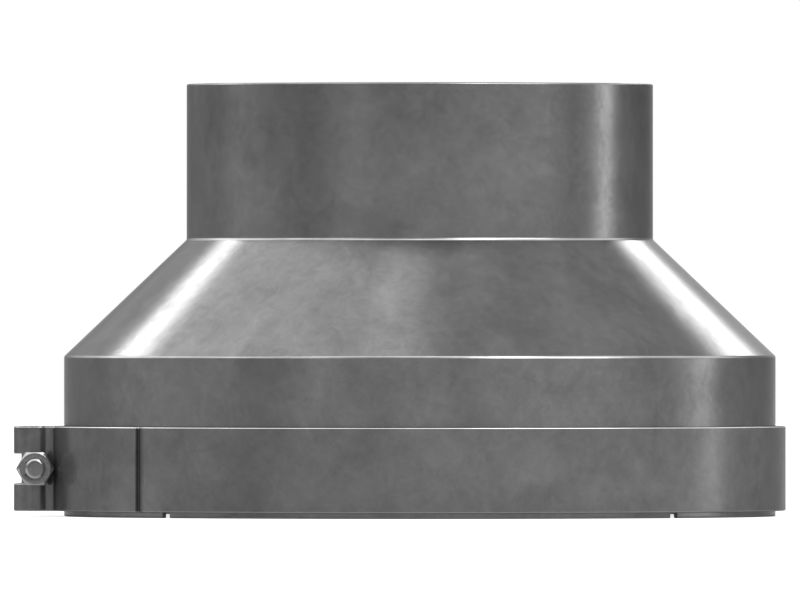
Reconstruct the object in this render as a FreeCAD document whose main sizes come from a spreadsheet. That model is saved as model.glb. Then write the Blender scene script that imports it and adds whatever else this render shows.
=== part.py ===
import FreeCAD, Part
import math
import os

import Sketcher
from FreeCAD import Placement, Rotation, Vector

# Conical pipe adapter: a round sheet steel reducer with a slotted collar at the foot, which a
# T-bolt band clamp squeezes on to a pipe. Millimetres, +Z up, origin on the axis at the foot.

FULL_TURN = 360
# how near two lengths are when they count as the same, in millimetres
TOUCH = 0.001

SIZES = {
    # adapter, outside sizes
    "neck_diameter": 140.0,
    "neck_length": 46.7,
    "cone_height": 35.0,
    "collar_diameter": 213.6,
    "collar_height": 48.0,
    "sheet_thickness": 1.5,
    "bend_radius": 1.0,
    "rim_round": 0.5,
    # slots that let the collar close
    "slot_count": 4,
    "slot_turn": 45,
    "slot_width": 3.0,
    "slot_length": 20.0,
    # band clamp
    "band_foot_height": 1.7,
    "band_width": 25.4,
    "strap_thickness": 1.0,
    "strap_edge_round": 0.4,
    "lap_gap": 0.1,
    "lap_angle": 40.1,
    "fold_radius": 2.4,
    "seal_thickness": 2.0,
    "seal_inset": 0.6,
    "seal_butt_gap": 1.0,
    "seat_gap": 0.03,
    # loops and their cross pins
    "loop_bore": 11.1,
    "loop_spacing": 23.2,
    "loop_sink": 0.25,
    "window_height": 8.9,
    "lip_round": 0.3,
    "lap_end_round": 0.35,
    "trunnion_diameter": 8.6,
    "trunnion_inset": 0.4,
    "trunnion_flat_depth": 0.7,
    "pin_chamfer": 0.5,
    # fasteners
    "thread_diameter": 6.0,
    "bolt_clearance": 0.6,
    "bolt_length": 45.0,
    "bolt_end_chamfer": 0.7,
    "bolt_end_rise": 0.4,
    "hex_across_flats": 10.0,
    "hex_face_diameter": 9.2,
    "head_height": 4.0,
    "nut_height": 5.0,
    "nut_stand_off": 0.9,
    "thread_gap": 0.05,
    "mouth_chamfer": 0.15,
    "sleeve_diameter": 8.2,
}

# Sizes that follow from the ones above, kept as formulas in the same sheet
DERIVED = {
    "neck_radius": "=neck_diameter / 2",
    "collar_radius": "=collar_diameter / 2",
    "shoulder_height": "=collar_height + cone_height",
    "total_height": "=shoulder_height + neck_length",
    "cone_slant": "=sqrt((collar_radius - neck_radius)^2 + cone_height^2)",
    "mitre_drop": "=sheet_thickness * (cone_slant - cone_height) / (collar_radius - neck_radius)",
    "neck_inner_radius": "=neck_radius - sheet_thickness",
    "collar_inner_radius": "=collar_radius - sheet_thickness",
    "inner_shoulder_height": "=shoulder_height - mitre_drop",
    "inner_collar_height": "=collar_height - mitre_drop",
    "slot_radius": "=slot_width / 2",
    "slot_end_height": "=slot_length - slot_radius",
    "band_half_width": "=band_width / 2",
    "band_mid_height": "=band_foot_height + band_half_width",
    "seal_inner_radius": "=collar_radius + seat_gap",
    "seal_outer_radius": "=seal_inner_radius + seal_thickness",
    "seal_width": "=band_width - 2 * seal_inset",
    "strap_half_thickness": "=strap_thickness / 2",
    "strap_mid_radius": "=seal_outer_radius + seat_gap + strap_half_thickness",
    "lap_mid_radius": "=strap_mid_radius + strap_thickness + lap_gap",
    "lap_end_x": "=0 - lap_mid_radius * cos(lap_angle * 1 deg)",
    "loop_mid_radius": "=(loop_bore + strap_thickness) / 2",
    "fold_mid_radius": "=fold_radius + strap_half_thickness",
    "loop_offset": "=loop_spacing / 2",
    "bolt_reach": "=strap_mid_radius + loop_mid_radius - loop_sink",
    "window_radius": "=window_height / 2",
    "window_depth": "=loop_bore",
    "trunnion_radius": "=trunnion_diameter / 2",
    "trunnion_length": "=band_width - 2 * trunnion_inset",
    "trunnion_offset": "=loop_offset - loop_bore / 2 + trunnion_radius + seat_gap",
    "trunnion_flat": "=trunnion_radius - trunnion_flat_depth",
    "nut_seat": "=loop_offset + loop_bore / 2 + strap_thickness + nut_stand_off",
    "sleeve_foot": "=trunnion_offset + trunnion_flat + seat_gap",
    "sleeve_length": "=nut_seat - sleeve_foot - seat_gap",
    "sleeve_radius": "=sleeve_diameter / 2",
    "thread_radius": "=thread_diameter / 2",
    "bolt_tip_radius": "=thread_radius - bolt_end_chamfer",
    "bolt_chamfer_start": "=bolt_length - bolt_end_rise",
    "clear_radius": "=(thread_diameter + bolt_clearance) / 2",
    "nut_bore_radius": "=thread_radius + thread_gap",
    "nut_mouth_radius": "=nut_bore_radius + mouth_chamfer",
    "nut_mouth_start": "=nut_height - mouth_chamfer",
    "hex_radius": "=hex_across_flats / sqrt(3)",
    "hex_half_radius": "=hex_radius / 2",
    "hex_half_flat": "=hex_across_flats / 2",
    "hex_face_radius": "=hex_face_diameter / 2",
    "hex_chamfer_rise": "=(hex_radius - hex_face_radius) * tan(30 deg)",
    "hex_chamfer_foot": "=nut_height - hex_chamfer_rise",
    "head_chamfer_foot": "=head_height - hex_chamfer_rise",
}

doc = FreeCAD.newDocument("conical_pipe_adapter")
sheet = doc.addObject("Spreadsheet::Sheet", "Sizes")
for row, (alias, content) in enumerate({**SIZES, **DERIVED}.items(), start=1):
    sheet.set(f"A{row}", alias)
    sheet.set(f"B{row}", str(content))
    sheet.setAlias(f"B{row}", alias)
doc.recompute()


def value(name):
    """A size of the sheet as a number; a leading minus turns its sign."""
    if name.startswith("-"):
        return -value(name[1:])
    return float(getattr(sheet, name))


def cell(name):
    """The same size as an expression that points at the sheet."""
    if name.startswith("-"):
        return f"0 - Sizes.{name[1:]}"
    return f"Sizes.{name}"


def newBody(name):
    body = doc.addObject("PartDesign::Body", name)
    body.Label = name
    return body


def originPart(body, role):
    return next(item for item in body.Origin.OriginFeatures if item.Role == role)


def newSketch(body, name, role):
    sketch = body.newObject("Sketcher::SketchObject", name)
    sketch.AttachmentSupport = (originPart(body, role), [""])
    sketch.MapMode = "FlatFace"
    return sketch


def dimension(sketch, name, kind, where, size):
    """A named dimension bound to a size of the sheet."""
    index = sketch.addConstraint(Sketcher.Constraint(kind, *where, value(size)))
    sketch.renameConstraint(index, name)
    sketch.setExpression(f"Constraints.{name}", cell(size))


def holdPoint(sketch, line, end, x, y):
    """Binds one end of a line or arc to two sizes; a zero is the sketch's own axis."""
    for kind, axis, size in (("DistanceX", -2, x), ("DistanceY", -1, y)):
        if size == "0":
            sketch.addConstraint(Sketcher.Constraint("PointOnObject", line, end, axis))
        else:
            dimension(sketch, f"{kind}{line}at{end}", kind, (-1, 1, line, end), size)


def number(name):
    return 0.0 if name == "0" else value(name)


def outline(sketch, corners):
    """A closed outline of straight lines whose corners are pairs of sizes."""
    first = sketch.GeometryCount
    count = len(corners)
    points = [Vector(number(x), number(y), 0) for x, y in corners]
    for index in range(count):
        sketch.addGeometry(Part.LineSegment(points[index], points[(index + 1) % count]), False)
    for index in range(count):
        following = first + (index + 1) % count
        sketch.addConstraint(Sketcher.Constraint("Coincident", first + index, 2, following, 1))
    for index, (x, y) in enumerate(corners):
        holdPoint(sketch, first + index, 1, x, y)


def circle(sketch, name, radius):
    index = sketch.addGeometry(Part.Circle(Vector(0, 0, 0), Vector(0, 0, 1), value(radius)), False)
    sketch.addConstraint(Sketcher.Constraint("Coincident", index, 3, -1, 1))
    dimension(sketch, name, "Radius", (index,), radius)


def roundEnded(sketch, radius, depth, upright=False):
    """A slot whose round end lies about the sketch's origin, and its square end at -depth."""
    half = value(radius)
    far = -value(depth)
    turn = Rotation(Vector(0, 0, 1), 90 if upright else 0)
    first = math.pi / 2 if upright else 0
    low, high, start, end = (turn.multVec(Vector(x, y, 0))
                             for x, y in ((far, half), (far, -half), (0, -half), (0, half)))
    ring = Part.Circle(Vector(0, 0, 0), Vector(0, 0, 1), half)
    sketch.addGeometry([
        Part.LineSegment(low, high),
        Part.LineSegment(high, start),
        Part.ArcOfCircle(ring, first - math.pi / 2, first + math.pi / 2),
        Part.LineSegment(end, low),
    ], False)
    sides = "Vertical" if upright else "Horizontal"
    for rule in ((0, 2, 1, 1), (3, 2, 0, 1), (2, 3, -1, 1)):
        sketch.addConstraint(Sketcher.Constraint("Coincident", *rule))
    for rule in ((1, 2, 2, 1), (2, 2, 3, 1)):
        sketch.addConstraint(Sketcher.Constraint("Tangent", *rule))
    sketch.addConstraint(Sketcher.Constraint("Horizontal" if upright else "Vertical", 0))
    sketch.addConstraint(Sketcher.Constraint(sides, 1))
    dimension(sketch, "halfWidth", "Radius", (2,), radius)
    dimension(sketch, "depth", "DistanceY" if upright else "DistanceX", (-1, 1, 0, 1), f"-{depth}")


def revolve(body, sketch, kind="PartDesign::Revolution", role="Z_Axis"):
    feature = body.newObject(kind, f"{body.Name}_{sketch.Name}_turned")
    feature.Profile = sketch
    feature.ReferenceAxis = (originPart(body, role), [""])
    feature.Angle = FULL_TURN
    return feature


def extrude(body, sketch, length, kind="PartDesign::Pad", midplane=False, reverse=False):
    feature = body.newObject(kind, f"{body.Name}_{sketch.Name}_long")
    feature.Profile = sketch
    feature.setExpression("Length", cell(length))
    feature.Midplane = midplane
    feature.Reversed = reverse
    return feature


def edgesAt(shape, test):
    """Names of the edges whose middle point and curve pass the test."""
    names = []
    for index, edge in enumerate(shape.Edges, start=1):
        middle = edge.valueAt((edge.FirstParameter + edge.LastParameter) / 2)
        if test(edge, middle):
            names.append(f"Edge{index}")
    return names


def blend(body, kind, base, names, prop, size):
    feature = body.newObject(kind, f"{body.Name}_{size}")
    feature.Base = (base, names)
    feature.setExpression(prop, cell(size))
    return feature


# The adapter: one sheet, spun to a neck, a cone and a collar
def makeAdapter():
    body = newBody("adapter_body")
    profile = newSketch(body, "wall", "XZ_Plane")
    outline(profile, [
        ("collar_radius", "0"),
        ("collar_radius", "collar_height"),
        ("neck_radius", "shoulder_height"),
        ("neck_radius", "total_height"),
        ("neck_inner_radius", "total_height"),
        ("neck_inner_radius", "inner_shoulder_height"),
        ("collar_inner_radius", "inner_collar_height"),
        ("collar_inner_radius", "0"),
    ])
    wall = revolve(body, profile)
    doc.recompute()

    bends = (value("collar_height"), value("inner_collar_height"),
             value("shoulder_height"), value("inner_shoulder_height"))
    rims = (0.0, value("total_height"))

    def ringAt(heights):
        return lambda edge, middle: (edge.Closed and edge.BoundBox.ZLength < TOUCH
                                     and min(abs(middle.z - height) for height in heights) < TOUCH)

    bent = blend(body, "PartDesign::Fillet", wall, edgesAt(wall.Shape, ringAt(bends)),
                 "Radius", "bend_radius")
    doc.recompute()
    rounded = blend(body, "PartDesign::Fillet", bent, edgesAt(bent.Shape, ringAt(rims)),
                    "Radius", "rim_round")
    doc.recompute()

    # a slot with a round end, cut through one side of the collar and repeated round the axis
    slot = newSketch(body, "slot", "XZ_Plane")
    slot.AttachmentOffset = Placement(Vector(0, 0, 0), Rotation(Vector(0, 1, 0), value("slot_turn")))
    slot.setExpression("AttachmentOffset.Rotation.Angle", "Sizes.slot_turn")
    slot.setExpression("AttachmentOffset.Base.y", "Sizes.slot_end_height")
    roundEnded(slot, "slot_radius", "slot_end_height", upright=True)
    cut = extrude(body, slot, "collar_diameter", "PartDesign::Pocket")
    doc.recompute()
    pattern = body.newObject("PartDesign::PolarPattern", "slots")
    pattern.Originals = [cut]
    pattern.Axis = (originPart(body, "Z_Axis"), [""])
    pattern.Angle = FULL_TURN
    pattern.setExpression("Occurrences", "Sizes.slot_count")
    body.Tip = pattern
    doc.recompute()
    lost = rounded.Shape.Volume - pattern.Shape.Volume
    expected = (value("slot_count") * value("slot_width") * value("slot_length")
                * value("sheet_thickness"))
    print("slots cut", round(lost, 1), "of about", round(expected, 1))
    return body


# The strap: one flat ribbon round the collar, each end turned into a loop and lapped back
def makeStrap():
    body = newBody("clamp_strap")
    path = newSketch(body, "half_path", "XY_Plane")
    path.setExpression("AttachmentOffset.Base.z", "Sizes.band_mid_height")
    ring = value("strap_mid_radius")
    lap = value("lap_mid_radius")
    loop = value("loop_mid_radius")
    fold = value("fold_mid_radius")
    centre = Vector(-value("bolt_reach"), -value("loop_offset"), 0)
    reach = centre.Length
    bearing = math.atan2(centre.y, centre.x)

    # the ring leaves along the line that touches ring and loop on opposite sides
    leave = bearing + math.acos((ring + loop) / reach)
    ringEnd = Vector(ring * math.cos(leave), ring * math.sin(leave), 0)
    loopStart = centre - Vector(loop * math.cos(leave), loop * math.sin(leave), 0)
    # the fold touches the loop and the lap from outside both
    toFold = math.acos(((lap + fold) ** 2 + reach ** 2 - (loop + fold) ** 2)
                       / (2 * (lap + fold) * reach))
    foldAt = bearing + toFold
    foldCentre = Vector((lap + fold) * math.cos(foldAt), (lap + fold) * math.sin(foldAt), 0)
    loopEnd = centre + (foldCentre - centre) * (loop / (loop + fold))
    lapStart = foldCentre * (lap / (lap + fold))
    lapEnd = Vector(value("lap_end_x"), -math.sqrt(lap ** 2 - value("lap_end_x") ** 2), 0)

    def arcThrough(middle, radius, start, end):
        first = math.atan2(start.y - middle.y, start.x - middle.x)
        last = math.atan2(end.y - middle.y, end.x - middle.x)
        return Part.ArcOfCircle(Part.Circle(middle, Vector(0, 0, 1), radius), first,
                                last if last > first else last + 2 * math.pi)

    origin = Vector(0, 0, 0)
    path.addGeometry([
        arcThrough(origin, ring, ringEnd, Vector(ring, 0, 0)),
        Part.LineSegment(ringEnd, loopStart),
        arcThrough(centre, loop, loopStart, loopEnd),
        arcThrough(foldCentre, fold, lapStart, loopEnd),
        arcThrough(origin, lap, lapStart, lapEnd),
    ], False)
    for curve in (0, 4):
        path.addConstraint(Sketcher.Constraint("Coincident", curve, 3, -1, 1))
    path.addConstraint(Sketcher.Constraint("PointOnObject", 0, 2, -1))
    for one, oneEnd, two, twoEnd in ((0, 1, 1, 1), (1, 2, 2, 1), (2, 2, 3, 2), (3, 1, 4, 1)):
        path.addConstraint(Sketcher.Constraint("Tangent", one, oneEnd, two, twoEnd))
    dimension(path, "ring", "Radius", (0,), "strap_mid_radius")
    dimension(path, "loop", "Radius", (2,), "loop_mid_radius")
    dimension(path, "fold", "Radius", (3,), "fold_mid_radius")
    dimension(path, "lap", "Radius", (4,), "lap_mid_radius")
    dimension(path, "loopX", "DistanceX", (-1, 1, 2, 3), "-bolt_reach")
    dimension(path, "loopY", "DistanceY", (-1, 1, 2, 3), "-loop_offset")
    dimension(path, "lapEndX", "DistanceX", (-1, 1, 4, 2), "lap_end_x")

    # the ribbon's section, with its long edges rounded
    section = newSketch(body, "section", "XZ_Plane")
    section.setExpression("AttachmentOffset.Base.x", "Sizes.strap_mid_radius")
    section.setExpression("AttachmentOffset.Base.y", "Sizes.band_mid_height")
    wide = value("strap_thickness") / 2
    tall = value("band_width") / 2
    corner = value("strap_edge_round")
    inX = wide - corner
    inY = tall - corner
    up = Vector(0, 0, 1)
    quarter = math.pi / 2
    section.addGeometry([
        Part.LineSegment(Vector(-inX, -tall, 0), Vector(inX, -tall, 0)),
        Part.ArcOfCircle(Part.Circle(Vector(inX, -inY, 0), up, corner), 3 * quarter, 4 * quarter),
        Part.LineSegment(Vector(wide, -inY, 0), Vector(wide, inY, 0)),
        Part.ArcOfCircle(Part.Circle(Vector(inX, inY, 0), up, corner), 0, quarter),
        Part.LineSegment(Vector(inX, tall, 0), Vector(-inX, tall, 0)),
        Part.ArcOfCircle(Part.Circle(Vector(-inX, inY, 0), up, corner), quarter, 2 * quarter),
        Part.LineSegment(Vector(-wide, inY, 0), Vector(-wide, -inY, 0)),
        Part.ArcOfCircle(Part.Circle(Vector(-inX, -inY, 0), up, corner), 2 * quarter, 3 * quarter),
    ], False)
    for index in range(8):
        section.addConstraint(Sketcher.Constraint("Tangent", index, 2, (index + 1) % 8, 1))
    section.addConstraint(Sketcher.Constraint("Horizontal", 4))
    section.addConstraint(Sketcher.Constraint("Vertical", 6))
    section.addConstraint(Sketcher.Constraint("Symmetric", 0, 1, 0, 2, -2))
    section.addConstraint(Sketcher.Constraint("Symmetric", 2, 1, 2, 2, -1))
    for index in (3, 5, 7):
        section.addConstraint(Sketcher.Constraint("Equal", 1, index))
    dimension(section, "edgeRound", "Radius", (1,), "strap_edge_round")
    dimension(section, "halfThickness", "DistanceX", (-1, 1, 2, 1), "strap_half_thickness")
    dimension(section, "halfWidth", "DistanceY", (0, 1, -1, 1), "band_half_width")
    doc.recompute()

    ribbon = body.newObject("PartDesign::AdditivePipe", "front_half")
    ribbon.Profile = section
    ribbon.Spine = (path, [f"Edge{index}" for index in range(1, 6)])
    doc.recompute()
    mirror = body.newObject("PartDesign::Mirrored", "rear_half")
    mirror.Originals = [ribbon]
    mirror.MirrorPlane = (originPart(body, "XZ_Plane"), [""])
    body.Tip = mirror
    doc.recompute()

    # one cut along the bolt opens the windows of both loops, round towards the collar
    window = newSketch(body, "window", "XZ_Plane")
    window.setExpression("AttachmentOffset.Base.x", "0 - Sizes.bolt_reach")
    window.setExpression("AttachmentOffset.Base.y", "Sizes.band_mid_height")
    roundEnded(window, "window_radius", "window_depth")
    opened = extrude(body, window, "collar_diameter", "PartDesign::Pocket", midplane=True)
    doc.recompute()

    # the long outer lips of the windows and the outer corner of each lap end are rounded
    loopOuter = loop + value("strap_half_thickness")
    lapOuter = lap + value("strap_half_thickness")
    lapEndX = value("lap_end_x") * lapOuter / lap

    def outerLip(edge, middle):
        fromLoop = math.hypot(middle.x + value("bolt_reach"), abs(middle.y) - value("loop_offset"))
        lift = abs(middle.z - value("band_mid_height"))
        return abs(fromLoop - loopOuter) < TOUCH and abs(lift - value("window_radius")) < TOUCH

    def lapCorner(edge, middle):
        return (abs(math.hypot(middle.x, middle.y) - lapOuter) < TOUCH
                and abs(middle.x - lapEndX) < TOUCH
                and edge.BoundBox.ZLength > value("band_half_width"))

    eased = blend(body, "PartDesign::Fillet", opened, edgesAt(opened.Shape, outerLip),
                  "Radius", "lip_round")
    doc.recompute()
    blend(body, "PartDesign::Fillet", eased, edgesAt(eased.Shape, lapCorner),
          "Radius", "lap_end_round")
    doc.recompute()
    return body


# The seal strip between collar and strap, cut to length with a small gap opposite the bolt
def makeSeal():
    body = newBody("seal_strip")
    ring = newSketch(body, "ring", "XY_Plane")
    ring.setExpression("AttachmentOffset.Base.z", "Sizes.band_mid_height")
    circle(ring, "outer", "seal_outer_radius")
    circle(ring, "inner", "seal_inner_radius")
    extrude(body, ring, "seal_width", midplane=True)
    butt = newSketch(body, "butt", "XZ_Plane")
    outline(butt, [("0", "0"), ("strap_mid_radius", "0"),
                   ("strap_mid_radius", "total_height"), ("0", "total_height")])
    extrude(body, butt, "seal_butt_gap", "PartDesign::Pocket", midplane=True)
    doc.recompute()
    return body


# A trunnion: a round pin across the loop, drilled for the bolt, with a flat under the sleeve
def makeTrunnion(name, side):
    body = newBody(name)
    body.Placement = Placement(Vector(0, 0, 0), Rotation(Vector(0, 0, 1), 0 if side < 0 else 180))
    body.setExpression("Placement.Base.x", "0 - Sizes.bolt_reach")
    body.setExpression("Placement.Base.y", f"{side} * Sizes.trunnion_offset")
    body.setExpression("Placement.Base.z", "Sizes.band_mid_height")
    pin = newSketch(body, "pin", "XY_Plane")
    circle(pin, "pinRadius", "trunnion_radius")
    rod = extrude(body, pin, "trunnion_length", midplane=True)
    doc.recompute()
    ends = edgesAt(rod.Shape, lambda edge, middle: edge.Closed)
    blend(body, "PartDesign::Chamfer", rod, ends, "Size", "pin_chamfer")
    doc.recompute()
    hole = newSketch(body, "cross_hole", "XZ_Plane")
    circle(hole, "holeRadius", "clear_radius")
    extrude(body, hole, "trunnion_diameter", "PartDesign::Pocket", midplane=True)
    flat = newSketch(body, "flat", "XZ_Plane")
    flat.setExpression("AttachmentOffset.Base.z", "Sizes.trunnion_flat")
    outline(flat, [("-trunnion_radius", "-window_radius"), ("trunnion_radius", "-window_radius"),
                   ("trunnion_radius", "window_radius"), ("-trunnion_radius", "window_radius")])
    extrude(body, flat, "trunnion_diameter", "PartDesign::Pocket", reverse=True)
    doc.recompute()
    return body


def alongBolt(body, offset, side):
    """Stands the body's own +Z along the bolt, away from the middle of the clamp."""
    turn = 90 if side < 0 else -90
    body.Placement = Placement(Vector(0, 0, 0), Rotation(Vector(1, 0, 0), turn))
    body.setExpression("Placement.Base.x", "0 - Sizes.bolt_reach")
    body.setExpression("Placement.Base.y", f"{side} * Sizes.{offset}")
    body.setExpression("Placement.Base.z", "Sizes.band_mid_height")


# A sleeve: a short tube through the loop's window, between the trunnion's flat and nut or head
def makeSleeve(name, side):
    body = newBody(name)
    alongBolt(body, "sleeve_foot", side)
    tube = newSketch(body, "tube", "XY_Plane")
    circle(tube, "outer", "sleeve_radius")
    circle(tube, "inner", "clear_radius")
    extrude(body, tube, "sleeve_length")
    doc.recompute()
    return body


def hexagon(body, name):
    """A hexagon with two corners on the sketch's X axis, held by its corner radius."""
    sketch = newSketch(body, name, "XY_Plane")
    outline(sketch, [("hex_radius", "0"), ("hex_half_radius", "hex_half_flat"),
                     ("-hex_half_radius", "hex_half_flat"), ("-hex_radius", "0"),
                     ("-hex_half_radius", "-hex_half_flat"), ("hex_half_radius", "-hex_half_flat")])
    return sketch


def cornerCut(body, name, low, high):
    """Turns the corners of a hexagon down to its round face, from one height to another."""
    sketch = newSketch(body, name, "XZ_Plane")
    outline(sketch, [("hex_face_radius", high), ("hex_radius", high), ("hex_radius", low)])
    return revolve(body, sketch, "PartDesign::Groove")


# The nut, its corners turned down on both faces
def makeNut():
    body = newBody("clamp_nut")
    alongBolt(body, "nut_seat", -1)
    extrude(body, hexagon(body, "nut_hexagon"), "nut_height")
    doc.recompute()
    cornerCut(body, "outer_corners", "hex_chamfer_foot", "nut_height")
    cornerCut(body, "seat_corners", "hex_chamfer_rise", "0")
    bore = newSketch(body, "nut_bore", "XZ_Plane")
    outline(bore, [("0", "0"), ("nut_mouth_radius", "0"), ("nut_bore_radius", "mouth_chamfer"),
                   ("nut_bore_radius", "nut_mouth_start"), ("nut_mouth_radius", "nut_height"),
                   ("0", "nut_height")])
    revolve(body, bore, "PartDesign::Groove")
    doc.recompute()
    return body


# The bolt, its hexagon head at the rear and its chamfered end out of the nut at the front
def makeBolt():
    body = newBody("clamp_bolt")
    body.Placement = Placement(Vector(0, 0, 0), Rotation(Vector(1, 0, 0), 90))
    body.setExpression("Placement.Base.x", "0 - Sizes.bolt_reach")
    body.setExpression("Placement.Base.y", "Sizes.nut_seat")
    body.setExpression("Placement.Base.z", "Sizes.band_mid_height")
    extrude(body, hexagon(body, "head_hexagon"), "head_height", reverse=True)
    doc.recompute()
    cornerCut(body, "head_corners", "-head_chamfer_foot", "-head_height")
    cornerCut(body, "bearing_corners", "-hex_chamfer_rise", "0")
    shank = newSketch(body, "shank", "XZ_Plane")
    outline(shank, [("0", "0"), ("thread_radius", "0"), ("thread_radius", "bolt_chamfer_start"),
                    ("bolt_tip_radius", "bolt_length"), ("0", "bolt_length")])
    revolve(body, shank)
    doc.recompute()
    return body


bodies = [
    makeAdapter(),
    makeStrap(),
    makeSeal(),
    makeTrunnion("front_trunnion", -1),
    makeTrunnion("rear_trunnion", 1),
    makeSleeve("nut_sleeve", -1),
    makeSleeve("head_sleeve", 1),
    makeNut(),
    makeBolt(),
]
doc.recompute()

for item in doc.Objects:
    if {"Invalid", "Error"} & set(item.State):
        raise RuntimeError(f"{item.Label} could not be computed: {item.State}")
for body in bodies:
    if body.Shape.isNull() or not body.Shape.isValid() or len(body.Shape.Solids) != 1:
        raise RuntimeError(f"{body.Label} is not one sound solid")

os.makedirs("parts", exist_ok=True)
for body in bodies:
    body.Shape.exportStep(f"parts/{body.Label}.step")
    box = body.Shape.BoundBox
    print(body.Label, round(body.Shape.Volume, 1),
          [round(edge, 3) for edge in (box.XMin, box.YMin, box.ZMin, box.XMax, box.YMax, box.ZMax)])
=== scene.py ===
import bpy, bmesh, math
import numpy as np
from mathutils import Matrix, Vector


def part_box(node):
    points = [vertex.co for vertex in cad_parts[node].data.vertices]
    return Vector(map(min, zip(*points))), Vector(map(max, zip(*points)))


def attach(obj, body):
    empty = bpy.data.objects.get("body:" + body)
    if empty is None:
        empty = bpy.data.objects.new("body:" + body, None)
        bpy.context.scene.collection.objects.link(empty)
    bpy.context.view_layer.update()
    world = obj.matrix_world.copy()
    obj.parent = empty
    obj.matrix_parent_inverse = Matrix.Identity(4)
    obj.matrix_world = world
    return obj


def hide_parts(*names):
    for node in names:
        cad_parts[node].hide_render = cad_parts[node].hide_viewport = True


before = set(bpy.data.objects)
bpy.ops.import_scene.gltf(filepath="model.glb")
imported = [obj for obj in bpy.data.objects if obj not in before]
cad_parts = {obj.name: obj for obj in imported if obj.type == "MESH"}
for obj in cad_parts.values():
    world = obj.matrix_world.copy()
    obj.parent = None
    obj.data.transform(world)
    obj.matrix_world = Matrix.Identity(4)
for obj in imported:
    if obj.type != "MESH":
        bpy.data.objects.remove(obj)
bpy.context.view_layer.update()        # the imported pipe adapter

print("frame loaded")


# materials

def newMaterial(name):
    material = bpy.data.materials.new(name)
    material.use_nodes = True
    material.node_tree.nodes.clear()
    return material, material.node_tree


def node(tree, kind, **settings):
    made = tree.nodes.new(kind)
    for key, setting in settings.items():
        if key in made.inputs:
            made.inputs[key].default_value = setting
        else:
            setattr(made, key, setting)
    return made


def ramp(tree, source, low, high, fromLow=0.25, fromHigh=0.75):
    # maps a value to the range from low to high; noise mostly stays within the middle half
    made = node(tree, "ShaderNodeMapRange")
    made.inputs["From Min"].default_value = fromLow
    made.inputs["From Max"].default_value = fromHigh
    made.inputs["To Min"].default_value = low
    made.inputs["To Max"].default_value = high
    tree.links.new(source, made.inputs["Value"])
    return made.outputs["Result"]


# how far down each noise goes in detail, how strong the fine part is, and how far it is twisted
noiseKinds = dict(
    clouds=(5.0, 0.60, 0.5),
    patches=(5.0, 0.66, 0.8),
    flecks=(5.0, 0.70, 1.0),
    speckle=(5.0, 0.60, 0.0),
    grain=(3.0, 0.60, 0.0),
    wave=(1.0, 0.40, 0.0),
)


def noise(tree, coordinates, kind, size):
    # soft noise whose features are about this many metres across
    detail, roughness, distortion = noiseKinds[kind]
    made = node(tree, "ShaderNodeTexNoise", Scale=1.0 / size, Detail=detail,
                Roughness=roughness, Distortion=distortion)
    tree.links.new(coordinates, made.inputs["Vector"])
    return made.outputs["Fac"]


def mathNode(tree, operation, first, second):
    made = node(tree, "ShaderNodeMath", operation=operation)
    for socket, given in zip(made.inputs, (first, second)):
        if isinstance(given, (int, float)):
            socket.default_value = given
        else:
            tree.links.new(given, socket)
    return made.outputs[0]


def components(tree, source):
    # the X, Y and Z of a vector
    made = node(tree, "ShaderNodeSeparateXYZ")
    tree.links.new(source, made.inputs[0])
    return made.outputs["X"], made.outputs["Y"], made.outputs["Z"]


def greyColour(tree, tone):
    made = node(tree, "ShaderNodeCombineColor")
    for channel in ("Red", "Green", "Blue"):
        tree.links.new(tone, made.inputs[channel])
    return made.outputs["Color"]


def relief(tree, height, depth, below=None):
    # a relief this many metres deep, laid over another one where that is given
    made = node(tree, "ShaderNodeBump", Strength=1.0, Distance=depth)
    tree.links.new(height, made.inputs["Height"])
    if below is not None:
        tree.links.new(below, made.inputs["Normal"])
    return made.outputs["Normal"]


def showOn(tree, kind, shader):
    # the shader becomes the output of a material or of the world
    output = node(tree, kind)
    tree.links.new(shader, output.inputs["Surface"])


sheetSteel = dict(
    # mean reflectance, and how much of it is bare metal
    grey=0.18, metal=0.9,
    # clouds, patches and flecks in the reflectance, and their sizes in metres
    clouds=0.030, cloudSize=0.026,
    patches=0.023, patchSize=0.009,
    flecks=0.019, fleckSize=0.0036,
    roughness=0.215, roughClouds=0.010, roughPatches=0.005,
    # how much of the glancing shine is kept, and the shine of the part that is not bare metal
    edgeTint=0.48, filmShine=0.15,
    # a slow wave and a fine grain in the surface, depth and size in metres
    wave=0.000005, waveSize=0.020,
    grain=0.0000025, grainSize=0.0012,
    # bends and rims, painted bright as a highlight: their reflectance, the share of
    # it on undersides, and the lean from which and up to which a surface counts as a bend
    bendHighlightGrey=0.34, bendUnder=1.0, bendFrom=0.14, bendTo=0.62, bendSoft=0.07,
)


def onBends(tree, values):
    # 1 where the surface leans upwards as far as a bend does, soft at both limits of the lean, and
    # the share for undersides where it leans down as far
    low, high, soft = values["bendFrom"], values["bendTo"], values["bendSoft"]
    upwards = components(tree, node(tree, "ShaderNodeNewGeometry").outputs["Normal"])[2]
    lean = mathNode(tree, "ABSOLUTE", upwards, 0.0)
    rise = ramp(tree, lean, 0.0, 1.0, low - soft, low + soft)
    fall = ramp(tree, lean, 1.0, 0.0, high - soft, high + soft)
    side = ramp(tree, upwards, values["bendUnder"], 1.0, -low, low)
    return mathNode(tree, "MULTIPLY", mathNode(tree, "MULTIPLY", rise, fall), side)


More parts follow.
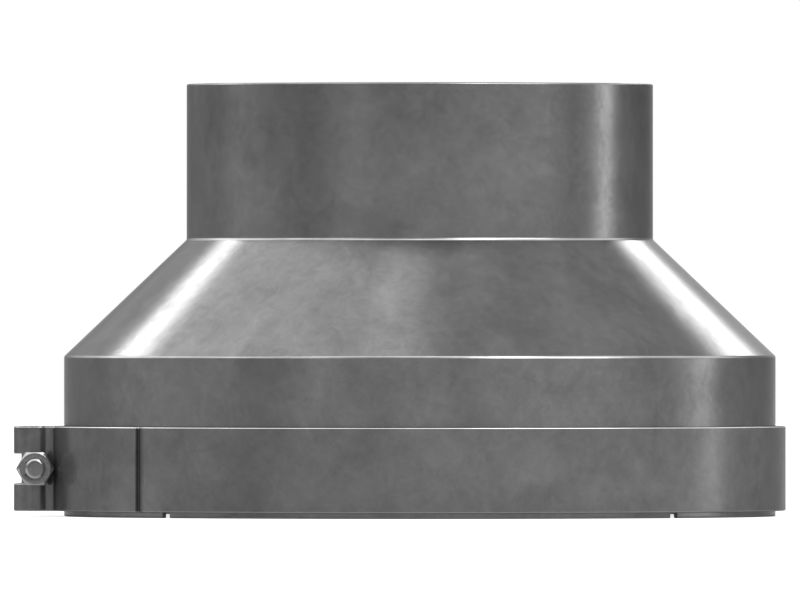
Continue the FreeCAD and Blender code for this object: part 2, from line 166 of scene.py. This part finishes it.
def besideLap(tree, place, values):
    # 1 on the band just past each lap's end, where shade is painted, fading along the band; both
    # sides of Y are alike, and the distance past the end is x cos(bearing) + |y| sin(bearing)
    bearing = math.radians(values["lapBearing"])
    x, y = components(tree, place)[:2]
    sideways = mathNode(tree, "ABSOLUTE", y, 0.0)
    along = mathNode(tree, "ADD", mathNode(tree, "MULTIPLY", x, math.cos(bearing)),
                     mathNode(tree, "MULTIPLY", sideways, math.sin(bearing)))
    fade = ramp(tree, along, 1.0, 0.0, values["lapShadeStart"], values["lapShadeEnd"])
    start = mathNode(tree, "GREATER_THAN", along, values["lapShadeEdge"])
    return mathNode(tree, "MULTIPLY", fade, start)


def steel(name, values):
    # satin steel: clouds and patches in colour and gloss, a slow wave and a fine grain; where the
    # values name them also flecks, a painted highlight on bends and rims, and painted shade past
    # the ends of the laps
    material, tree = newMaterial(name)
    links = tree.links
    place = node(tree, "ShaderNodeTexCoord").outputs["Object"]
    clouds = noise(tree, place, "clouds", values["cloudSize"])
    patches = noise(tree, place, "patches", values["patchSize"])
    grain = noise(tree, place, "grain", values["grainSize"])
    wave = noise(tree, place, "wave", values["waveSize"])
    grey = values["grey"]
    cloudy = ramp(tree, clouds, grey - values["clouds"], grey + values["clouds"])
    patchy = ramp(tree, patches, -values["patches"], values["patches"])
    tone = mathNode(tree, "ADD", cloudy, patchy)
    if "flecks" in values:
        flecks = noise(tree, place, "flecks", values["fleckSize"])
        flecked = ramp(tree, flecks, -values["flecks"], values["flecks"])
        tone = mathNode(tree, "ADD", tone, flecked)
    # painted highlight: bends and rims are made brighter by how far they lean, as light falls on
    # them
    if "bendHighlightGrey" in values:
        paintedHighlight = mathNode(tree, "MULTIPLY", onBends(tree, values), values["bendHighlightGrey"] - grey)
        tone = mathNode(tree, "ADD", tone, paintedHighlight)
    # painted shade: the band is darkened just past each lap's end, beside the step where the upper
    # layer shades it
    if "lapShade" in values:
        lapShade = mathNode(tree, "MULTIPLY", besideLap(tree, place, values), values["lapShade"])
        tone = mathNode(tree, "MULTIPLY", tone, mathNode(tree, "SUBTRACT", 1.0, lapShade))
    rough, cloudShare = values["roughness"], values["roughClouds"]
    roughness = mathNode(tree, "ADD",
                         ramp(tree, clouds, rough + cloudShare, rough - cloudShare),
                         ramp(tree, patches, values["roughPatches"], -values["roughPatches"]))
    slow = relief(tree, wave, values["wave"])
    fine = relief(tree, grain, values["grain"], slow)
    shader = node(tree, "ShaderNodeBsdfPrincipled", Metallic=values["metal"])
    shader.inputs["Specular Tint"].default_value = (*[values["edgeTint"]] * 3, 1)
    shader.inputs["Specular IOR Level"].default_value = values["filmShine"]
    links.new(greyColour(tree, tone), shader.inputs["Base Color"])
    links.new(roughness, shader.inputs["Roughness"])
    links.new(fine, shader.inputs["Normal"])
    showOn(tree, "ShaderNodeOutputMaterial", shader.outputs["BSDF"])
    return material


strapSteel = dict(
    # the strap's bends and rims get a stronger painted highlight, and less of it underneath
    sheetSteel, grey=0.159, metal=0.67, bendHighlightGrey=0.80, cloudSize=0.032, grainSize=0.0008,
    bendUnder=0.22, filmShine=0.0, patches=0.021, flecks=0.016,
    # the way along the band at the laps' ends, in degrees from +X, and the line of painted shade
    # past
    # them: how much it darkens, and where it starts, fades and ends, in metres
    lapBearing=49.9, lapShade=0.60, lapShadeEdge=0.0005, lapShadeStart=0.0009, lapShadeEnd=0.0030,
)

pinSteel = dict(
    grey=0.20, metal=0.9, clouds=0.020, cloudSize=0.008, patches=0.010, patchSize=0.0025,
    roughness=0.30, roughClouds=0.05, roughPatches=0.04, edgeTint=0.6, filmShine=0.5,
    wave=0.000010, waveSize=0.004, grain=0.000004, grainSize=0.0004,
)

fastenerSteel = dict(
    grey=0.185, metal=0.9, clouds=0.013, cloudSize=0.006, patches=0.008, patchSize=0.0018,
    roughness=0.26, roughClouds=0.04, roughPatches=0.04, edgeTint=0.6, filmShine=0.5,
    wave=0.000006, waveSize=0.004, grain=0.000003, grainSize=0.0003,
)

# the turned corners of nut and bolt, painted brighter as a glint
glintSteel = dict(fastenerSteel, grey=0.38, roughness=0.22)

sealRubber = dict(grey=0.018, speckle=0.010, speckleSize=0.0007, roughness=0.75, pits=0.00004)


def rubber(name, values):
    # dark matt rubber with fine speckle and pits
    material, tree = newMaterial(name)
    place = node(tree, "ShaderNodeTexCoord").outputs["Object"]
    speckle = noise(tree, place, "speckle", values["speckleSize"])
    tone = ramp(tree, speckle, values["grey"], values["grey"] + values["speckle"])
    shader = node(tree, "ShaderNodeBsdfPrincipled", Roughness=values["roughness"])
    tree.links.new(greyColour(tree, tone), shader.inputs["Base Color"])
    tree.links.new(relief(tree, speckle, values["pits"]), shader.inputs["Normal"])
    showOn(tree, "ShaderNodeOutputMaterial", shader.outputs["BSDF"])
    return material


finishes = dict(
    adapter_body=steel("satinSheet", sheetSteel),
    clamp_strap=steel("satinStrap", strapSteel),
    seal_strip=rubber("sealRubber", sealRubber),
)
pinFinish = steel("drawnPin", pinSteel)
for name in ("front_trunnion", "rear_trunnion", "nut_sleeve", "head_sleeve"):
    finishes[name] = pinFinish
fastenerFinish = steel("fastenerSteel", fastenerSteel)
# a brighter steel laid on the turned corners as a painted glint
glintFinish = steel("glintSteel", glintSteel)

for nodeName, finish in finishes.items():
    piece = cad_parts[nodeName]
    piece.data.materials.clear()
    piece.data.materials.append(finish)
print("materials made")


# fasteners

fasteners = dict(
    # M6 bolt and nut, in metres
    radius=0.0030, acrossFlats=0.0100, headHeight=0.0040,
    threadPitch=0.0010, threadDepth=0.00061, threadedLength=0.034, runOut=0.0010,
    # where the crest's flat ends and the root's begins, as shares of half a pitch
    crest=0.125, root=0.750,
    # the bolt's turned tip, how far before it the thread stops, and how far its own rows begin
    tipRise=0.0004, tipRadius=0.0023, tipRound=0.00032, threadStop=0.0001, tipEdge=0.00008,
    # turned corners of the hexagons, the nut's mouth, and the room between the threads
    faceRadius=0.0046, chamferSlope=math.tan(math.radians(30)), edgeRound=0.00012,
    cornerSharpness=60, mouth=0.00005, threadRoom=0.00003,
    # columns round the axis, rows in a rounded corner, and the largest share of a side it takes
    columns=144, cornerRows=5, cornerShare=0.45,
    # points closer than this become one, and edges sharper than this stay sharp
    mergeDistance=1e-7, tinyEdge=1e-8, sharpAngle=math.radians(28),
)


def roundCorners(corners, roundness, values):
    # every inner corner of a line of points gives way to a short parabola that starts and ends
    # a roundness away from it; corners are arrays of (distance from axis, place along axis)
    rows = [corners[0]]
    for before, corner, after in zip(corners, corners[1:], corners[2:]):
        toBefore = before - corner
        toAfter = after - corner
        lengthBefore = np.linalg.norm(toBefore, axis=-1, keepdims=True)
        lengthAfter = np.linalg.norm(toAfter, axis=-1, keepdims=True)
        shorter = np.minimum(lengthBefore, lengthAfter)
        cut = np.minimum(roundness, values["cornerShare"] * shorter)
        first = corner + toBefore / lengthBefore * cut
        last = corner + toAfter / lengthAfter * cut
        for share in np.linspace(0, 1, values["cornerRows"]):
            rest = 1 - share
            rows.append(rest ** 2 * first + 2 * share * rest * corner + share ** 2 * last)
    rows.append(corners[-1])
    return np.array(rows)


def glintBetween(corner, values):
    # the two strips where one rounded corner runs into the next, painted brighter than the rest as
    # a glint
    last = corner * values["cornerRows"]
    return last, last + 2


def hexagonReach(turn, values):
    # distance from the axis to a hexagon's side; the sides lie at 30 degrees and every 60 from
    # there, and a high power mean of their cosines rounds the corners a little
    sides = np.radians(np.arange(6) * 60 + 30)
    facing = np.maximum(np.cos(turn[:, None] - sides[None, :]), 0)
    mean = (facing ** values["cornerSharpness"]).sum(axis=1) ** (1 / values["cornerSharpness"])
    return values["acrossFlats"] / 2 / mean


def threadReach(turn, along, start, end, values, room=0.0):
    # the radius less the thread's depth where a helix of flats, slopes and roots passes; the
    # depth fades in and out over the run-out at both ends
    crest, root = values["crest"], values["root"]
    phase = (along / values["threadPitch"] - turn / (2 * np.pi)) % 1.0
    wave = np.abs(2 * phase - 1)
    cut = np.clip((wave - crest) / (root - crest), 0, 1)
    fade = np.clip(np.minimum(along - start, end - along) / values["runOut"], 0, 1)
    return values["radius"] + room - values["threadDepth"] * cut * fade


def threadRows(turn, start, end, values, room=0.0, fadeStart=None, fadeEnd=None):
    # rows that follow the helix where its slope changes, held between two level rings
    pitch, crest, root = values["threadPitch"], values["crest"], values["root"]
    breaks = np.array([0, (1 - root) / 2, (1 - crest) / 2, 0.5, (1 + crest) / 2, (1 + root) / 2])
    turns = np.arange(math.floor(start / pitch) - 1, math.ceil(end / pitch) + 1)
    heights = ((turns[:, None] + breaks[None, :]) * pitch).ravel()
    along = np.clip(heights[:, None] + turn[None, :] / (2 * np.pi) * pitch, start, end)
    moving = np.ptp(along, axis=1) > 0
    ring = np.ones((1, len(turn)))
    along = np.concatenate([ring * start, along[moving], ring * end])
    fadeStart = start if fadeStart is None else fadeStart
    fadeEnd = end if fadeEnd is None else fadeEnd
    reach = threadReach(turn[None, :], along, fadeStart, fadeEnd, values, room)
    return np.stack([reach, along], axis=-1)


def turnedMesh(name, rows, turn, closed, bright, place, values, body="root"):
    # rows of (distance from axis, place along axis) on every bearing become a surface round the
    # bolt's line; closed joins the last row to the first, else both ends close on the axis;
    # bright lists the first and last rows of what is painted brighter as a glint
    columns = len(turn)
    reach, along = rows[..., 0], rows[..., 1]
    x, y, z = place
    points = np.stack([x + reach * np.cos(turn), y - along, z + reach * np.sin(turn)], axis=-1)
    count = len(rows)
    lower = np.arange(count if closed else count - 1)
    upper = (lower + 1) % count
    column = np.arange(columns)
    following = (column + 1) % columns
    quads = np.stack([
        lower[:, None] * columns + column, lower[:, None] * columns + following,
        upper[:, None] * columns + following, upper[:, None] * columns + column,
    ], axis=-1).reshape(-1, 4)
    brightRows = np.zeros(count, bool)
    for first, last in bright:
        brightRows[first:last] = True
    marks = np.repeat(brightRows[lower], columns)
    mesh = bpy.data.meshes.new(name)
    mesh.from_pydata(points.reshape(-1, 3), [], quads)
    mesh.polygons.foreach_set("material_index", marks.astype(np.int32))
    sheet = bmesh.new()
    sheet.from_mesh(mesh)
    bmesh.ops.remove_doubles(sheet, verts=sheet.verts, dist=values["mergeDistance"])
    bmesh.ops.dissolve_degenerate(sheet, edges=sheet.edges, dist=values["tinyEdge"])
    bmesh.ops.recalc_face_normals(sheet, faces=sheet.faces)
    sheet.to_mesh(mesh)
    sheet.free()
    mesh.shade_smooth()
    mesh.set_sharp_from_angle(angle=values["sharpAngle"])
    mesh.materials.append(fastenerFinish)
    mesh.materials.append(glintFinish)
    piece = bpy.data.objects.new(name, mesh)
    bpy.context.collection.objects.link(piece)
    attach(piece, body)
    return piece


def level(reach, along, columns):
    # one row: a reach and a place along the axis, each a number or an array
    parts = [np.broadcast_to(part, columns) for part in (reach, along)]
    return np.stack(parts, axis=-1)


def makeFasteners(values):
    columns = values["columns"]
    turn = np.arange(columns) / columns * 2 * np.pi
    nutLow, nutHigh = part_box("clamp_nut")
    boltLow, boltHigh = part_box("clamp_bolt")
    x = (nutLow.x + nutHigh.x) / 2
    z = (nutLow.z + nutHigh.z) / 2
    side = hexagonReach(turn, values)
    rise = (side - values["faceRadius"]) * values["chamferSlope"]
    face = values["faceRadius"]
    edge = values["edgeRound"]
    pitch = values["threadPitch"]

    # nut: seat, turned corners, sides, turned corners, face, mouth, thread, mouth
    nutHeight = nutHigh.y - nutLow.y
    seat = -nutHigh.y
    top = seat + nutHeight
    bore = values["radius"] + values["threadRoom"]
    mouth = bore + values["mouth"]
    outside = roundCorners([
        level(mouth, seat, columns), level(face, seat, columns), level(side, seat + rise, columns),
        level(side, top - rise, columns), level(face, top, columns), level(mouth, top, columns),
    ], edge, values)
    inside = threadRows(turn, seat + values["mouth"], top - values["mouth"], values,
                        values["threadRoom"], seat - pitch, top + pitch)[::-1]
    rows = np.concatenate([outside, inside])
    bright = [glintBetween(1, values), glintBetween(3, values)]
    nut = turnedMesh("dressedNut", rows, turn, True, bright, (x, 0.0, z), values)
    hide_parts("clamp_nut")

    # bolt: head face, turned corners, sides, bearing face, shank, thread, turned end
    head = -boltHigh.y
    tip = -boltLow.y
    bearing = head + values["headHeight"]
    radius = values["radius"]
    chamfer = tip - values["tipRise"]
    threadStart = tip - values["threadedLength"]
    headRows = roundCorners([
        level(0.0, head, columns), level(face, head, columns), level(side, head + rise, columns),
        level(side, bearing - rise, columns), level(face, bearing, columns),
        level(radius, bearing, columns), level(radius, threadStart, columns),
    ], edge, values)
    cut = threadRows(turn, threadStart, chamfer - values["threadStop"], values)
    tipRows = roundCorners([
        level(radius, chamfer - values["tipEdge"], columns), level(radius, chamfer, columns),
        level(values["tipRadius"], tip, columns), level(0.0, tip, columns),
    ], values["tipRound"], values)
    rows = np.concatenate([headRows, cut, tipRows])
    # the tip is painted bright as a glint from the middle of its first rounded corner to the middle
    # of its second
    brightTip = len(headRows) + len(cut) + values["cornerRows"] // 2 + 1
    bright.append((brightTip, brightTip + values["cornerRows"]))
    bolt = turnedMesh("dressedBolt", rows, turn, False, bright, (x, 0.0, z), values)
    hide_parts("clamp_bolt")


makeFasteners(fasteners)
print("fasteners made")


# studio

studio = dict(
    ambient=0.375,
    # direction, sharpness and strength of each soft light in the room; one of negative strength
    # is a dark card
    lobes=[
        # level ring
        ((-0.70, 0.71, 0.00), 40, 0.20),
        ((-0.985, 0.17, 0.00), 40, 0.43),
        ((-0.83, -0.56, 0.00), 40, -0.34),
        ((-0.53, -0.85, 0.00), 120, 0.30),
        ((0.00, -1.00, 0.00), 120, 0.15),
        ((0.64, -0.77, 0.00), 12, 0.25),
        ((0.90, -0.44, 0.00), 120, 0.36),
        ((0.99, 0.10, 0.00), 160, 0.60),
        ((0.965, 0.262, 0.00), 220, 4.10),
        # behind and above, seen along the cone
        ((0.16, 0.97, 0.18), 60, 0.40),
        ((0.26, 0.90, 0.30), 100, 0.55),
        ((-0.31, 0.89, 0.34), 60, 0.90),
        ((0.35, 0.84, 0.41), 500, 20.0),
        ((0.41, 0.76, 0.50), 500, 9.5),
        ((-0.69, 0.58, 0.43), 50, 1.10),
        ((-0.46, 0.67, 0.58), 440, 18.0),
        ((-0.45, 0.38, 0.81), 40, 1.40),
        ((-0.475, 0.50, 0.72), 200, 1.00),
        ((0.475, 0.53, 0.70), 200, 0.40),
        ((0.45, 0.38, 0.81), 110, 0.32),
        ((-0.28, 0.14, 0.95), 40, 1.30),
        ((0.19, 0.09, 0.98), 300, 0.84),
        ((-0.10, 0.06, 0.99), 300, 1.50),
        ((0.00, 0.05, 1.00), 300, 0.90),
        # in front and above, seen in the rounded edges
        ((-0.55, -0.62, 0.55), 50, 1.20),
        ((-0.38, -0.46, 0.80), 50, 2.00),
        ((0.00, -0.56, 0.83), 50, 2.40),
        ((0.38, -0.46, 0.80), 50, 4.20),
        ((0.44, -0.70, 0.57), 60, 6.80),
        ((0.74, -0.55, 0.38), 60, 3.00),
        ((0.76, -0.34, 0.56), 50, 3.40),
        ((-0.76, -0.28, 0.58), 50, 2.20),
        ((-0.84, 0.12, 0.52), 50, 2.00),
        ((0.84, 0.12, 0.52), 50, 1.20),
        ((-0.80, 0.45, 0.38), 50, 2.60),
        ((0.80, 0.45, 0.38), 50, 1.70),
        ((-0.55, 0.80, 0.25), 50, 1.20),
        ((0.56, 0.01, 0.83), 50, 2.40),
    ],
    # how squarely behind the object a shine starts to meet the white, and meets all of it
    backdrop=(0.9865, 1.0005),
    floorColour=0.50, floorLift=0.72, floorHalf=6.0,
    # how much of the lift a shine meets in front of the object and behind it, and between which
    # places on Y it changes over
    floorShine=(0.58, 0.22), floorTurn=(-0.30, 0.10),
)


def seenBy(tree, glossyShare):
    # 1 for rays from the camera and through glass, and a share of 1 for rays off shiny surfaces
    rays = node(tree, "ShaderNodeLightPath")
    glossy = mathNode(tree, "MULTIPLY", rays.outputs["Is Glossy Ray"], glossyShare)
    straight = mathNode(tree, "MAXIMUM", rays.outputs["Is Camera Ray"],
                        rays.outputs["Is Transmission Ray"])
    return mathNode(tree, "MAXIMUM", straight, glossy)


def makeWorld(values):
    world = bpy.data.worlds.new("studio")
    bpy.context.scene.world = world
    world.use_nodes = True
    tree = world.node_tree
    tree.nodes.clear()
    direction = node(tree, "ShaderNodeTexCoord").outputs["Generated"]
    total = values["ambient"]
    for axis, sharpness, strength in values["lobes"]:
        dot = node(tree, "ShaderNodeVectorMath", operation="DOT_PRODUCT")
        tree.links.new(direction, dot.inputs[0])
        dot.inputs[1].default_value = Vector(axis).normalized()
        facing = mathNode(tree, "MAXIMUM", dot.outputs["Value"], 0.0)
        glow = mathNode(tree, "MULTIPLY", mathNode(tree, "POWER", facing, sharpness), strength)
        total = mathNode(tree, "ADD", glow, total)
    backwards = components(tree, direction)[1]
    backdrop = ramp(tree, backwards, 0.0, 1.0, *values["backdrop"])
    room = node(tree, "ShaderNodeBackground", Color=(1, 1, 1, 1))
    tree.links.new(total, room.inputs["Strength"])
    white = node(tree, "ShaderNodeBackground", Color=(1, 1, 1, 1))
    mix = node(tree, "ShaderNodeMixShader")
    tree.links.new(seenBy(tree, backdrop), mix.inputs["Fac"])
    tree.links.new(room.outputs["Background"], mix.inputs[1])
    tree.links.new(white.outputs["Background"], mix.inputs[2])
    showOn(tree, "ShaderNodeOutputWorld", mix.outputs["Shader"])


def makeFloor(values):
    half = values["floorHalf"]
    mesh = bpy.data.meshes.new("floor")
    corners = [(-half, -half, 0), (half, -half, 0), (half, half, 0), (-half, half, 0)]
    mesh.from_pydata(corners, [], [(0, 1, 2, 3)])
    floor = bpy.data.objects.new("floor", mesh)
    bpy.context.collection.objects.link(floor)
    material, tree = newMaterial("paleFloor")
    diffuse = node(tree, "ShaderNodeBsdfDiffuse", Color=(*[values["floorColour"]] * 3, 1))
    lift = node(tree, "ShaderNodeEmission", Strength=values["floorLift"])
    both = node(tree, "ShaderNodeAddShader")
    tree.links.new(diffuse.outputs["BSDF"], both.inputs[0])
    tree.links.new(lift.outputs["Emission"], both.inputs[1])
    backwards = components(tree, node(tree, "ShaderNodeTexCoord").outputs["Object"])[1]
    shine = ramp(tree, backwards, *values["floorShine"], *values["floorTurn"])
    mix = node(tree, "ShaderNodeMixShader")
    tree.links.new(seenBy(tree, shine), mix.inputs["Fac"])
    tree.links.new(diffuse.outputs["BSDF"], mix.inputs[1])
    tree.links.new(both.outputs["Shader"], mix.inputs[2])
    showOn(tree, "ShaderNodeOutputMaterial", mix.outputs["Shader"])
    mesh.materials.append(material)


makeWorld(studio)
makeFloor(studio)


# camera: level, and so far away that the lines of the part stay nearly parallel

view = dict(
    millimetresPerPixel=1 / 3.331, pictureWidth=800,
    centre=(-0.00595, 0.0, 0.0649), distance=8.0, sensor=36.0, clipEnd=100,
)


def makeCamera(values):
    camera = bpy.data.cameras.new("camera")
    seenWidth = values["millimetresPerPixel"] * values["pictureWidth"] / 1000
    camera.sensor_width = values["sensor"]
    camera.lens = values["sensor"] * values["distance"] / seenWidth
    camera.clip_end = values["clipEnd"]
    holder = bpy.data.objects.new("camera", camera)
    bpy.context.collection.objects.link(holder)
    x, y, z = values["centre"]
    holder.location = (x, y - values["distance"], z)
    holder.rotation_euler = (math.radians(90), 0, 0)
    bpy.context.scene.camera = holder


makeCamera(view)
bpy.context.scene.view_settings.view_transform = "Standard"
print("studio set")
